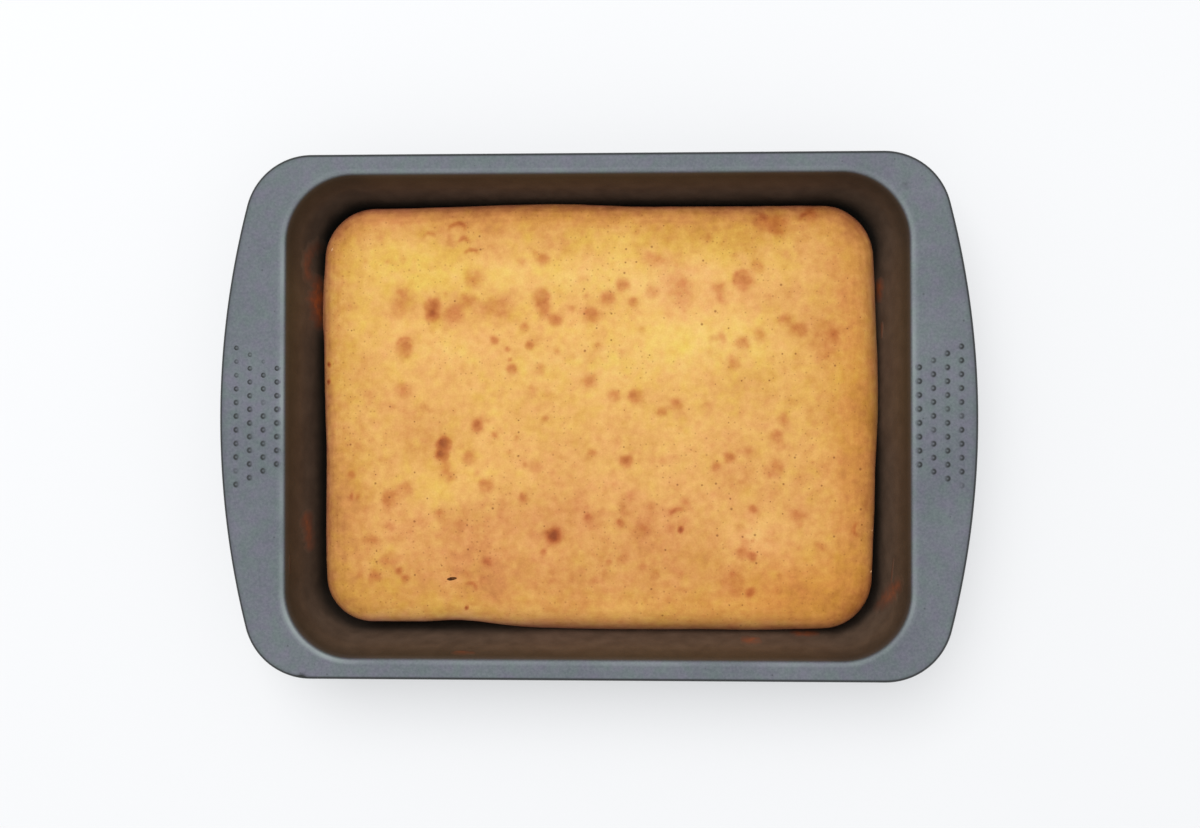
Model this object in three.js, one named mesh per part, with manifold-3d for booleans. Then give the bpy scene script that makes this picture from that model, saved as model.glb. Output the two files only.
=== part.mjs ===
// A sponge cake in the rectangular tin that it was baked in.
// Millimetres, +Z up, +X along the tin. The origin is under the middle of the tin's floor,
// on the surface that the tin stands on.

import * as THREE from "three";
import { mergeVertices } from "three/addons/utils/BufferGeometryUtils.js";
import Module from "manifold-3d";

// The tin: one pressed sheet with a flat rim that widens into a handle at each end
const TIN_LENGTH = 375; // over both handles
const TIN_WIDTH = 261; // over the rim of the long sides
const RIM_HEIGHT = 55;
const SHEET = 0.8;
const OPENING_LENGTH = 309;
const OPENING_WIDTH = 240;
const OPENING_CORNER = 33.5;
const OPENING_END_BOW = 20000; // radius of the opening's short sides, so nearly straight
const HANDLE_BOW = 426; // radius of each handle's outer edge
const RIM_CORNER = 33.5;
const WALL_LEAN = THREE.MathUtils.degToRad(15); // the walls open upwards
const FLOOR_BEND = 9; // inside radius between floor and wall
const LIP_BEND = 3; // outside radius between wall and rim
const HEM_BEND = 1.6; // outside radius of the rim's turned-down edge
const HEM_DROP = 4;

// Raised dots that roughen the handles for a gloved hand, in staggered columns
const GRIP_PITCH = 6.8;
const GRIP_COLUMNS = 4;
const GRIP_INNER_COLUMN = 158.5; // distance of the innermost column from the middle of the tin
const GRIP_INNER_DOTS = 8; // each column further out has one more
const DOT_RADIUS = 1.35;
const DOT_HEIGHT = 0.6;
const CROWN_RADIUS = 0.9; // a dot's steep side ends and its flatter crown starts here
const CROWN_HEIGHT = 0.43;
const DOT_ROOT = 0.4; // depth that a dot is sunk into the rim
const DOT_SIDES = 8;

// The cake: shrunk away from the walls, widest at a shoulder below its rounded top edge
const CAKE_LENGTH = 283.5;
const CAKE_WIDTH = 215.5;
const CAKE_CORNER = 25;
const CAKE_END_BOW = 4000;
const REST_GAP = 0.1; // film of grease between cake and tin
const SHOULDER_HEIGHT = 26;
const FOOT_INSET = 8.5; // how far the cake's foot lies inside its shoulder
const FOOT_ROUND = 3.5;
const FOOT_BEVEL = 0.9; // height and further inset of the middle of the foot's rounding
const BELLY_HEIGHT = 18; // where the side has almost reached the shoulder
const BELLY_INSET = 2.1;
const EDGE_REACH = 14; // how far in from the shoulder the top edge is rounded
const EDGE_RISE = 9; // height of the rounded edge above the shoulder
const EDGE_POWER = 2.5; // 2 is an elliptical edge, more is squarer
const DOME_RISE = 3.2; // height of the middle above the rounded edge

// Soft swells and dents in the cake's top: place, half widths and height
const TOP_SWELLS = [
  { x: -55, y: 57, alongX: 75, alongY: 8, height: -1.0 }, // long furrow near the back
  { x: -15, y: 37, alongX: 80, alongY: 13, height: 0.9 }, // ridge in front of the furrow
  { x: 45, y: 72, alongX: 60, alongY: 12, height: 0.7 },
  { x: 120, y: 44, alongX: 14, alongY: 20, height: -0.8 },
  { x: -80, y: -16, alongX: 11, alongY: 11, height: -0.8 },
  { x: -66, y: -38, alongX: 22, alongY: 14, height: 0.8 },
  { x: -24, y: -62, alongX: 8, alongY: 8, height: -0.6 },
  { x: 78, y: -74, alongX: 14, alongY: 12, height: -0.7 },
  { x: 84, y: -52, alongX: 16, alongY: 10, height: 0.6 },
];

// Places where the cake's side bows in or out: place, reach and distance outwards
const SIDE_BOWS = [
  { x: 0, y: 108, reach: 95, out: 1.5 }, // back edge, fuller in the middle
  { x: -30, y: 108, reach: 30, out: 1.0 },
  { x: 30, y: 108, reach: 35, out: -0.9 },
  { x: 40, y: -108, reach: 110, out: 1.2 }, // front edge, fuller towards one corner
  { x: -100, y: -108, reach: 50, out: -2.0 }, // and shrunk more towards the other
  { x: -70, y: -108, reach: 18, out: -1.7 }, // shallow notch in the front edge
  { x: 141, y: 20, reach: 45, out: 1.4 },
  { x: 141, y: -85, reach: 30, out: -0.8 },
  { x: -141, y: 58, reach: 25, out: 0.9 },
  { x: -141, y: -25, reach: 28, out: -1.2 },
];

// Steps along a short side, a corner and a long side of each outline
const TIN_STEPS = { end: 10, corner: 8, side: 3 };
const CAKE_STEPS = { end: 14, corner: 8, side: 18 };
const BEND_STEPS = 3;
const FLOOR_BEND_STEPS = 4;
const EDGE_RINGS = [0, 0.4, 1.5, 3.5, 6.5, 10, EDGE_REACH]; // distances in from the shoulder
const TOP_RINGS = 12;

const wasm = await Module();
wasm.setup();

// A rounded rectangle with bowed short sides, as points that run counterclockwise seen from above.
// Outlines made with the same steps match point for point, so that a skin can be stretched between them.
function outline(halfLength, halfWidth, cornerRadius, endBow, steps) {
  const cornerY = halfWidth - cornerRadius;
  const bowCentre = halfLength - endBow;
  const lean = Math.asin(cornerY / (endBow - cornerRadius));
  const cornerX = bowCentre + (endBow - cornerRadius) * Math.cos(lean);
  const quarter = Math.PI / 2;
  const arc = (x, y, radius, from, to) =>
    new THREE.EllipseCurve(x, y, radius, radius, from, to);
  const line = (fromX, toX, y) =>
    new THREE.LineCurve(new THREE.Vector2(fromX, y), new THREE.Vector2(toX, y));
  const stretches = [
    [arc(bowCentre, 0, endBow, -lean, lean), steps.end],
    [arc(cornerX, cornerY, cornerRadius, lean, quarter), steps.corner],
    [line(cornerX, -cornerX, halfWidth), steps.side],
    [arc(-cornerX, cornerY, cornerRadius, quarter, 2 * quarter - lean), steps.corner],
    [arc(-bowCentre, 0, endBow, 2 * quarter - lean, 2 * quarter + lean), steps.end],
    [arc(-cornerX, -cornerY, cornerRadius, 2 * quarter + lean, 3 * quarter), steps.corner],
    [line(-cornerX, cornerX, -halfWidth), steps.side],
    [arc(cornerX, -cornerY, cornerRadius, 3 * quarter, 4 * quarter - lean), steps.corner],
  ];
  return stretches.flatMap(([curve, count]) => curve.getPoints(count).slice(0, -1));
}

const atHeight = (points, z) => points.map((p) => new THREE.Vector3(p.x, p.y, z));

// Closed skin through rings of equal length, from a point under the first ring round to one over the last
function skin(startPoint, rings, endPoint) {
  const count = rings[0].length;
  const vertices = [startPoint, ...rings.flat(), endPoint];
  const last = vertices.length - 1;
  const faces = [];
  for (let i = 0; i < count; i++) {
    const next = (i + 1) % count;
    faces.push(0, 1 + next, 1 + i);
    for (let k = 0; k + 1 < rings.length; k++) {
      const low = 1 + k * count;
      const high = low + count;
      faces.push(low + i, low + next, high + next, low + i, high + next, high + i);
    }
    faces.push(last - count + i, last - count + next, last);
  }
  const geometry = new THREE.BufferGeometry().setFromPoints(vertices);
  geometry.setIndex(faces);
  return geometry;
}

// Points on a bend of the sheet, seen in section: out is measured across the wall, z is height
function bend(out, z, radius, from, to, steps) {
  return Array.from({ length: steps + 1 }, (_, i) => {
    const angle = THREE.MathUtils.lerp(from, to, i / steps);
    return { out: out + radius * Math.cos(angle), z: z + radius * Math.sin(angle) };
  });
}

// Section from the floor up the wall to the rim, at a depth below the sheet's inside face
function wallSection(depth) {
  const quarter = Math.PI / 2;
  const lipOut = LIP_BEND * Math.cos(WALL_LEAN);
  const lipZ = RIM_HEIGHT - LIP_BEND;
  const floorZ = SHEET + FLOOR_BEND;
  const wallTop = lipZ + LIP_BEND * Math.sin(WALL_LEAN);
  const wallFoot = floorZ - FLOOR_BEND * Math.sin(WALL_LEAN);
  const floorOut = -(wallTop - wallFoot) * Math.tan(WALL_LEAN) - FLOOR_BEND * Math.cos(WALL_LEAN);
  return [
    ...bend(floorOut, floorZ, FLOOR_BEND + depth, -quarter, -WALL_LEAN, FLOOR_BEND_STEPS),
    ...bend(lipOut, lipZ, LIP_BEND - depth, 2 * quarter - WALL_LEAN, quarter, BEND_STEPS),
  ];
}

// Section of the rim's turned-down edge, measured from the rim's outline
function hemSection(depth) {
  const hemZ = RIM_HEIGHT - HEM_BEND;
  return [
    ...bend(-HEM_BEND, hemZ, HEM_BEND - depth, Math.PI / 2, 0, BEND_STEPS),
    { out: -depth, z: RIM_HEIGHT - HEM_DROP },
  ];
}

function wallRing({ out, z }) {
  const points = outline(
    OPENING_LENGTH / 2 + out,
    OPENING_WIDTH / 2 + out,
    OPENING_CORNER + out,
    OPENING_END_BOW,
    TIN_STEPS,
  );
  return atHeight(points, z);
}

function rimRing({ out, z }) {
  const points = outline(
    TIN_LENGTH / 2 + out,
    TIN_WIDTH / 2 + out,
    RIM_CORNER + out,
    HANDLE_BOW + out,
    TIN_STEPS,
  );
  return atHeight(points, z);
}

// The pressed sheet, from the middle of its underside out to the hem and back over its inside
function tinSheet() {
  const underside = [...wallSection(SHEET).map(wallRing), ...hemSection(SHEET).map(rimRing)];
  const inside = [...wallSection(0).map(wallRing), ...hemSection(0).map(rimRing)].reverse();
  return skin(
    new THREE.Vector3(0, 0, 0),
    [...underside, ...inside],
    new THREE.Vector3(0, 0, SHEET),
  );
}

// One raised dot, with its foot sunk into the rim
function gripDot() {
  const profile = [
    new THREE.Vector2(0, -DOT_ROOT),
    new THREE.Vector2(DOT_RADIUS, -DOT_ROOT),
    new THREE.Vector2(DOT_RADIUS, 0),
    new THREE.Vector2(CROWN_RADIUS, CROWN_HEIGHT),
    new THREE.Vector2(0, DOT_HEIGHT),
  ];
  return new THREE.LatheGeometry(profile, DOT_SIDES).rotateX(Math.PI / 2);
}

// Middles of the dots on both handles
function gripPlaces() {
  const places = [];
  for (const side of [-1, 1]) {
    for (let column = 0; column < GRIP_COLUMNS; column++) {
      const dots = GRIP_INNER_DOTS + column;
      for (let row = 0; row < dots; row++) {
        const x = side * (GRIP_INNER_COLUMN + column * GRIP_PITCH);
        const y = (row - (dots - 1) / 2) * GRIP_PITCH;
        places.push(new THREE.Vector3(x, y, RIM_HEIGHT));
      }
    }
  }
  return places;
}

function toSolid(geometry) {
  const bare = geometry.clone();
  bare.deleteAttribute("normal");
  bare.deleteAttribute("uv");
  const merged = mergeVertices(bare);
  return new wasm.Manifold(
    new wasm.Mesh({
      numProp: 3,
      vertProperties: new Float32Array(merged.attributes.position.array),
      triVerts: new Uint32Array(merged.index.array),
    }),
  );
}

function toGeometry(solid) {
  const mesh = solid.getMesh();
  const geometry = new THREE.BufferGeometry();
  geometry.setAttribute("position", new THREE.BufferAttribute(mesh.vertProperties, 3));
  geometry.setIndex(new THREE.BufferAttribute(mesh.triVerts, 1));
  geometry.computeVertexNormals();
  return geometry;
}

function tinGeometry() {
  const dot = gripDot();
  const dots = gripPlaces().map((place) =>
    toSolid(dot.clone().translate(place.x, place.y, place.z)),
  );
  return toGeometry(dots.reduce((tin, solid) => tin.add(solid), toSolid(tinSheet())));
}

const bump = (x, y, swell) =>
  swell.height *
  Math.exp(-(((x - swell.x) / swell.alongX) ** 2) - ((y - swell.y) / swell.alongY) ** 2);

// Height of the cake's top at a place that lies a given distance in from the shoulder
function topHeight(x, y, inset) {
  const fromFlat = 1 - Math.min(inset / EDGE_REACH, 1);
  const edge = EDGE_RISE * (1 - fromFlat ** EDGE_POWER) ** (1 / EDGE_POWER);
  const acrossX = 1 - ((2 * x) / CAKE_LENGTH) ** 2;
  const acrossY = 1 - ((2 * y) / CAKE_WIDTH) ** 2;
  const dome = DOME_RISE * Math.max(acrossX, 0) * Math.max(acrossY, 0);
  const swells = TOP_SWELLS.reduce((sum, swell) => sum + bump(x, y, swell), 0);
  return SHOULDER_HEIGHT + edge + dome + (swells * inset) / EDGE_REACH;
}

// The cake's outline at a distance in from its shoulder, with the bows of its sides
function cakeOutline(inset) {
  const halfLength = CAKE_LENGTH / 2 - inset;
  const halfWidth = CAKE_WIDTH / 2 - inset;
  const even = outline(halfLength, halfWidth, CAKE_CORNER - inset, CAKE_END_BOW, CAKE_STEPS);
  return even.map((p) => {
    const out = SIDE_BOWS.reduce((sum, bow) => {
      const away = Math.hypot(p.x - bow.x, p.y - bow.y) / bow.reach;
      return sum + bow.out * Math.exp(-(away ** 2));
    }, 0);
    const core = new THREE.Vector2(
      THREE.MathUtils.clamp(p.x, -halfLength + CAKE_CORNER, halfLength - CAKE_CORNER),
      THREE.MathUtils.clamp(p.y, -halfWidth + CAKE_CORNER, halfWidth - CAKE_CORNER),
    );
    const outwards = p.clone().sub(core).normalize();
    return p.clone().addScaledVector(outwards, out);
  });
}

function cakeGeometry() {
  const floor = SHEET + REST_GAP;
  const side = [
    atHeight(cakeOutline(FOOT_INSET + FOOT_ROUND), floor),
    atHeight(cakeOutline(FOOT_INSET + FOOT_BEVEL), floor + FOOT_BEVEL),
    atHeight(cakeOutline(FOOT_INSET), floor + FOOT_ROUND),
    atHeight(cakeOutline(BELLY_INSET), BELLY_HEIGHT),
  ];
  const edge = EDGE_RINGS.map((inset) =>
    cakeOutline(inset).map((p) => new THREE.Vector3(p.x, p.y, topHeight(p.x, p.y, inset))),
  );
  const rim = cakeOutline(EDGE_REACH);
  const top = Array.from({ length: TOP_RINGS - 1 }, (_, i) => {
    const share = 1 - (i + 1) / TOP_RINGS;
    return rim.map((p) => {
      const x = p.x * share;
      const y = p.y * share;
      return new THREE.Vector3(x, y, topHeight(x, y, EDGE_REACH));
    });
  });
  return skin(
    new THREE.Vector3(0, 0, floor),
    [...side, ...edge, ...top],
    new THREE.Vector3(0, 0, topHeight(0, 0, EDGE_REACH)),
  );
}

const coating = new THREE.MeshStandardMaterial({
  color: 0x70777c,
  roughness: 0.5,
  metalness: 0.35,
});
const crust = new THREE.MeshStandardMaterial({ color: 0xe0a558, roughness: 0.75, metalness: 0 });

function namedMesh(name, geometry, material) {
  const mesh = new THREE.Mesh(geometry, material);
  mesh.name = name;
  return mesh;
}

const cakeInTin = new THREE.Group();
cakeInTin.add(namedMesh("tin", tinGeometry(), coating));
cakeInTin.add(namedMesh("cake", cakeGeometry(), crust));

export default cakeInTin;
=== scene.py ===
# %% [markdown]
# A sponge cake in the tin that it was baked in, seen from almost straight above.
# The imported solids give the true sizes. This lesson loads them as a fixed frame, then puts a finely
# modelled tin and cake in their place, each with a finish made of shader nodes. Sizes are in millimetres,
# as a baker would measure them, and become metres only when a mesh is made.

# %% Load the solids
import math

import bpy
import numpy as np
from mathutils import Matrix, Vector, noise


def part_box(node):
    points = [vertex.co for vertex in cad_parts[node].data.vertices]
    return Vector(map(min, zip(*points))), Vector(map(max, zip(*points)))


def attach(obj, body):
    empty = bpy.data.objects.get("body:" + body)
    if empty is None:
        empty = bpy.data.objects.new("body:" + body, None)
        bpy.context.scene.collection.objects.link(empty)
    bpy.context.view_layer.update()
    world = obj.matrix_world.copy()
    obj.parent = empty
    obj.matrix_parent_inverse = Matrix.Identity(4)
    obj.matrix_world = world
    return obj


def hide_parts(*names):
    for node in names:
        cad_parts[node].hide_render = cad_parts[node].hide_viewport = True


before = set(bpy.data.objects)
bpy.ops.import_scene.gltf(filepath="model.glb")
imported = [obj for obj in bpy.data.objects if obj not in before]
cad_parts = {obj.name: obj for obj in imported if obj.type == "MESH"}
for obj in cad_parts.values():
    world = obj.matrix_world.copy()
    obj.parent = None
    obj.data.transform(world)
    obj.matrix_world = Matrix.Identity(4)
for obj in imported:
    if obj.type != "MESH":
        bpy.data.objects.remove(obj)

MM = 0.001
scene = bpy.context.scene
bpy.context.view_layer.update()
tin_low, tin_high = (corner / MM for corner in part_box("tin"))
print("solids:", sorted(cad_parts), "box in mm:", [round(v) for v in tin_high - tin_low])

# %% [markdown]
# The camera hangs over the table and looks down, leaning very slightly. A camera without any rotation
# already looks straight down with +Y at the top of the picture, so two small turns are all that it needs.
# Placing it by its height over the rim keeps the perspective of the walls right.

# %% Camera over the table
RIM_HEIGHT = 55
CAMERA_AIM = Vector((2.3, 1.0, RIM_HEIGHT))
CAMERA_RISE = 600
CAMERA_LEAN_X = math.radians(1.87)
CAMERA_LEAN_Y = math.radians(-0.70)
SENSOR_WIDTH, FOCAL_LENGTH = 36, 36.52

lean = Vector((math.tan(CAMERA_LEAN_X), math.tan(CAMERA_LEAN_Y), 1))
camera = bpy.data.objects.new("camera", bpy.data.cameras.new("camera"))
camera.location = (CAMERA_AIM + CAMERA_RISE * lean) * MM
camera.rotation_euler = (-CAMERA_LEAN_Y, CAMERA_LEAN_X, 0)
camera.data.sensor_width = SENSOR_WIDTH
camera.data.lens = FOCAL_LENGTH
scene.collection.objects.link(camera)
scene.camera = camera
print("camera at", [round(v / MM) for v in camera.location], "mm")

# %% [markdown]
# The cake stands on a plain pale table, which is no part of it. The table glows a little, as a
# photographer's light table does, and that keeps the shadow on it faint.

# %% Table
TABLE_HALF = 3000
TABLE_GREY, TABLE_ROUGHNESS = (160, 160, 161), 0.8
TABLE_GLOW, TABLE_GLOW_COLOUR = 0.47, (0.98, 0.99, 1.0, 1)


def colour(red, green, blue):
    """A colour as seen on a screen, from 0 to 255, as the linear values that a shader takes."""
    seen = np.array((red, green, blue)) / 255
    linear = np.where(seen <= 0.04045, seen / 12.92, ((seen + 0.055) / 1.055) ** 2.4)
    return (*linear.tolist(), 1.0)


def add_piece(name, points, faces):
    """A smooth-shaded mesh object from points in millimetres."""
    mesh = bpy.data.meshes.new(name)
    mesh.from_pydata((np.asarray(points) * MM).tolist(), [], faces)
    mesh.shade_smooth()
    piece = bpy.data.objects.new(name, mesh)
    scene.collection.objects.link(piece)
    return piece


def new_material(name, piece):
    """A node material on a piece: returns its tree and its Principled shader's inputs."""
    material = bpy.data.materials.new(name)
    material.use_nodes = True
    piece.data.materials.append(material)
    return material.node_tree, material.node_tree.nodes["Principled BSDF"].inputs


corners = [(-1, -1, 0), (1, -1, 0), (1, 1, 0), (-1, 1, 0)]
table = add_piece("table", np.array(corners) * TABLE_HALF, [(0, 1, 2, 3)])
_, paint = new_material("table paint", table)
paint["Base Color"].default_value = colour(*TABLE_GREY)
paint["Roughness"].default_value = TABLE_ROUGHNESS
paint["Emission Color"].default_value = TABLE_GLOW_COLOUR
paint["Emission Strength"].default_value = TABLE_GLOW
print("table of", 2 * TABLE_HALF, "mm")

# %% [markdown]
# One wide lamp, far away to the upper left, lights the whole rim alike and throws the shadow to the lower
# right. A small one would draw hard edges into the gap round the cake. It isn't mirrored, because a satin
# rim would show it as a bright stain. The sky is white and brightest overhead, like a kitchen ceiling, so
# a slope that faces outwards mirrors less of it.

# %% Light
LAMP_PLACE, LAMP_SIZE, LAMP_POWER = Vector((-480, 920, 2400)), 2000, 60
SKY_COLOUR, SKY_AT_HORIZON, SKY_OVERHEAD = (0.96, 0.98, 1.0, 1), 0.5, 0.88


def put(tree, kind, inputs=None, **settings):
    """Adds a shader node. An input that is given a socket is linked, any other is set."""
    node = tree.nodes.new("ShaderNode" + kind)
    for key, value in settings.items():
        setattr(node, key, value)
    for key, value in (inputs or {}).items():
        if isinstance(value, bpy.types.NodeSocket):
            tree.links.new(value, node.inputs[key])
        else:
            node.inputs[key].default_value = value
    return node


def between(tree, share, low, high):
    """A number that goes from low to high as a share goes from 0 to 1."""
    return put(tree, "MapRange", {"Value": share, "To Min": low, "To Max": high}).outputs["Result"]


lamp = bpy.data.objects.new("lamp", bpy.data.lights.new("lamp", "AREA"))
lamp.location = LAMP_PLACE * MM
lamp.rotation_euler = (-LAMP_PLACE).to_track_quat("-Z", "Y").to_euler()
lamp.data.size = LAMP_SIZE * MM
lamp.data.energy = LAMP_POWER
lamp.visible_glossy = False
scene.collection.objects.link(lamp)

scene.world = bpy.data.worlds.new("sky")
scene.world.use_nodes = True
sky = scene.world.node_tree
background = sky.nodes["Background"].inputs
upwards = put(sky, "SeparateXYZ", {"Vector": put(sky, "TexCoord").outputs["Generated"]}).outputs["Z"]
sky.links.new(between(sky, upwards, SKY_AT_HORIZON, SKY_OVERHEAD), background["Strength"])
background["Color"].default_value = SKY_COLOUR
scene.view_settings.view_transform = "Standard"
print("one lamp of", LAMP_SIZE, "mm and a white sky")

# %% [markdown]
# A pressed tin is one sheet that follows two outlines: the opening and the rim. Both are rounded
# rectangles, the rim with bowed short ends. An outline is worked out once, as half a turn of arcs and
# lines, and its other half is the same points seen from the far side. Outlines with equal steps can be
# joined point by point, so a sheet is a stack of rings with a skin between them.

# %% Outlines and skins
END_STEPS, CORNER_STEPS, SIDE_STEPS = 64, 28, 80
QUARTER = math.pi / 2


def outline(half_length, half_width, corner, end_bow):
    """A rounded rectangle with bowed short ends, counterclockwise, as an array of points."""
    corner_y = half_width - corner
    bow_centre = half_length - end_bow
    end_lean = math.asin(corner_y / (end_bow - corner))
    corner_x = bow_centre + (end_bow - corner) * math.cos(end_lean)

    def arc(x, y, radius, start, stop, steps):
        angle = np.linspace(start, stop, steps, endpoint=False)
        return np.column_stack((x + radius * np.cos(angle), y + radius * np.sin(angle)))

    along = np.linspace(corner_x, -corner_x, SIDE_STEPS, endpoint=False)
    half_turn = [
        arc(bow_centre, 0, end_bow, -end_lean, end_lean, END_STEPS),
        arc(corner_x, corner_y, corner, end_lean, QUARTER, CORNER_STEPS),
        np.column_stack((along, np.full(SIDE_STEPS, half_width))),
        arc(-corner_x, corner_y, corner, QUARTER, 2 * QUARTER - end_lean, CORNER_STEPS),
    ]
    half_turn = np.concatenate(half_turn)
    return np.concatenate((half_turn, -half_turn))


def at_height(points, z):
    """Flat points, lifted to one height."""
    return np.column_stack((points, np.full(len(points), z)))


def skin(rings):
    """The points of rings of equal length, four-sided faces between them, and a lid at each end."""
    count = len(rings[0])
    here = np.arange(count)
    after = (here + 1) % count
    faces = [here[::-1].tolist()]
    for low in range(0, (len(rings) - 1) * count, count):
        high = low + count
        faces += np.column_stack((low + here, low + after, high + after, high + here)).tolist()
    faces.append(((len(rings) - 1) * count + here).tolist())
    return np.concatenate(rings), faces


print("an outline has", 2 * (END_STEPS + 2 * CORNER_STEPS + SIDE_STEPS), "points")

# %% [markdown]
# The sheet starts under the middle of the floor, runs out and up the leaning wall, over the lip onto the
# flat rim, and ends in a hem that is turned down. Then it comes back over the inside. Real rims are never
# quite flat, so a slow noise lifts and lowers this one by a tenth of a millimetre, which makes the shine
# wander. Each use of the noise in this lesson has a layer of its own, so that no two patterns agree.

# %% The pressed sheet
TIN_LENGTH, TIN_WIDTH = (tin_high - tin_low)[:2]
SHEET = 0.8
OPENING_LENGTH, OPENING_WIDTH, OPENING_CORNER, OPENING_END_BOW = 309, 240, 33.5, 20000
HANDLE_BOW, RIM_CORNER = 426, 33.5
WALL_LEAN = math.radians(15)
FLOOR_BEND, LIP_BEND, HEM_BEND, HEM_DROP = 9, 3, 1.6, 4
BEND_STEPS, WALL_STEPS, RIM_STEPS = 10, 14, 14
RIM_WANDER, RIM_WANDER_SIZE, RIM_LAYER = 0.12, 70, 0.3


def bend(out, z, radius, start, stop):
    """The places of a round bend in the sheet, each as a distance out and a height."""
    angle = np.linspace(start, stop, BEND_STEPS + 1)
    return np.column_stack((out + radius * np.cos(angle), z + radius * np.sin(angle)))


def sheet_rings(depth):
    """Rings from the floor to the hem's edge, at a depth below the sheet's inside face."""
    lip_out, lip_z = LIP_BEND * math.cos(WALL_LEAN), RIM_HEIGHT - LIP_BEND
    floor_z = SHEET + FLOOR_BEND
    wall_rise = lip_z - floor_z + (LIP_BEND + FLOOR_BEND) * math.sin(WALL_LEAN)
    floor_out = -wall_rise * math.tan(WALL_LEAN) - FLOOR_BEND * math.cos(WALL_LEAN)
    floor_bend = bend(floor_out, floor_z, FLOOR_BEND + depth, -QUARTER, -WALL_LEAN)
    lip_bend = bend(lip_out, lip_z, LIP_BEND - depth, 2 * QUARTER - WALL_LEAN, QUARTER)
    wall = np.linspace(floor_bend[-1], lip_bend[0], WALL_STEPS + 1)[1:-1]
    hem = bend(-HEM_BEND, RIM_HEIGHT - HEM_BEND, HEM_BEND - depth, QUARTER, 0)
    hem = np.vstack((hem, (-depth, RIM_HEIGHT - HEM_DROP)))

    def wall_ring(out, z):
        size = (OPENING_LENGTH / 2 + out, OPENING_WIDTH / 2 + out, OPENING_CORNER + out)
        return at_height(outline(*size, OPENING_END_BOW), z)

    def rim_ring(out, z):
        size = (TIN_LENGTH / 2 + out, TIN_WIDTH / 2 + out, RIM_CORNER + out)
        return at_height(outline(*size, HANDLE_BOW + out), z)

    wall_rings = [wall_ring(*place) for place in np.vstack((floor_bend, wall, lip_bend))]
    hem_rings = [rim_ring(*place) for place in hem]
    shares = np.linspace(0, 1, RIM_STEPS + 1)[1:-1]
    rim_rings = [(1 - share) * wall_rings[-1] + share * hem_rings[0] for share in shares]
    return wall_rings + rim_rings + hem_rings


def cloud(points, size, layer):
    """Smooth noise from about -1 to 1 over points, in patches of about the given size."""
    shift = np.array((0, 0, layer))
    return np.array([noise.noise(Vector(place)) for place in points / size + shift])


inside_rings = sheet_rings(0)
tin_points, tin_faces = skin(sheet_rings(SHEET) + inside_rings[::-1])
on_rim = np.clip((tin_points[:, 2] - RIM_HEIGHT + HEM_DROP) / HEM_DROP, 0, 1)
tin_points[:, 2] += RIM_WANDER * on_rim * cloud(tin_points, RIM_WANDER_SIZE, RIM_LAYER)
ring_count, ring_size = len(inside_rings), len(inside_rings[0])
print("sheet:", len(tin_points), "points in", 2 * ring_count, "rings")

# %% [markdown]
# Three values on each point say where the oven has left grease, where the lip shows wear with a painted
# highlight, and where it is darker. Painted shade darkens the fold below the lip, the back wall, and the
# wall low in the gap round the cake, and the hem is painted darker as well. Two small marks on the rim have
# a place, half widths and a strength. Along a few stretches the cake still sticks to the wall and leaves no
# gap, so no shade is painted there. Each has a side, a distance out, a middle and half length, and, for the
# cake itself, how far the crust hangs down and out there.

# %% Grease, wear and sheen, grime and painted shade
GREASE_FADE = ((-0.1, 0.2), (1, 0))
# Wear on the lip, with a painted highlight over it.
LIP_WEAR_AND_SHEEN = ((0.35, 0.6, 0.9, 1.1), (0, 1, 0.6, 0))
# Painted shade in the fold below the lip.
LIP_SHADE = ((-0.4, -0.1, 0.2, 0.45), (0, 0.6, 0.7, 0))
# The hem is painted darker.
HEM_DARKER = ((-0.05, 0.2), (0, 1))
# Painted shade low in the gap round the cake.
FOOT_SHADE = ((17, 26), (0.8, 0))
# Painted shade on the back wall, stronger towards the back.
BACK_SHADE = ((-110, -60, 110), (0, 0.12, 0.22))
# Levels of the lip's wear and painted highlight at each end and corner.
WEAR_AND_SHEEN_LEFT, WEAR_AND_SHEEN_SIDES, WEAR_AND_SHEEN_RIGHT, END_FROM = 0.85, 0.35, 0.5, 140
WEAR_AND_SHEEN_FRONT_CORNERS, WEAR_AND_SHEEN_BACK_CORNERS = 1, 0.35
CORNER_FROM, CORNER_FADE = (112, 82), 22
RIM_MARKS = ((-145.8, -129.1, 1.4, 1.5, 1.6), (152.1, 113.5, 1.1, 2.2, 0.45))
STUCK_STRETCHES = (
    (0, -1, 90, 33, 77, 7.0, 1.7), (1, 0, 120, 33, 44, 5.0, 1.7), (-1, 0, 120, 59, 14, 6.5, 2.0),
)
STUCK_SHARPNESS = 10


def stuck_along(points):
    """For each stuck stretch, 1 along it and 0 elsewhere, with soft ends."""
    stretches = []
    for side_x, side_y, distance, middle, half, _, _ in STUCK_STRETCHES:
        along = points[:, :2] @ (abs(side_y), abs(side_x))
        far_out = points[:, :2] @ (side_x, side_y) > distance
        stretches.append(far_out / (1 + (abs(along - middle) / half) ** STUCK_SHARPNESS))
    return np.array(stretches)


def swells(points, listed):
    """The sum of smooth bumps, each listed with its place, half widths and height."""
    total = 0
    for x, y, along_x, along_y, height in listed:
        away = ((points[:, 0] - x) / along_x) ** 2 + ((points[:, 1] - y) / along_y) ** 2
        total = total + height * np.exp(-away)
    return total


def over_sheet(outside, inside):
    """One value per ring of each face, spread over the sheet's points."""
    return np.repeat(np.concatenate((outside, inside[::-1])), ring_size)


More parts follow.
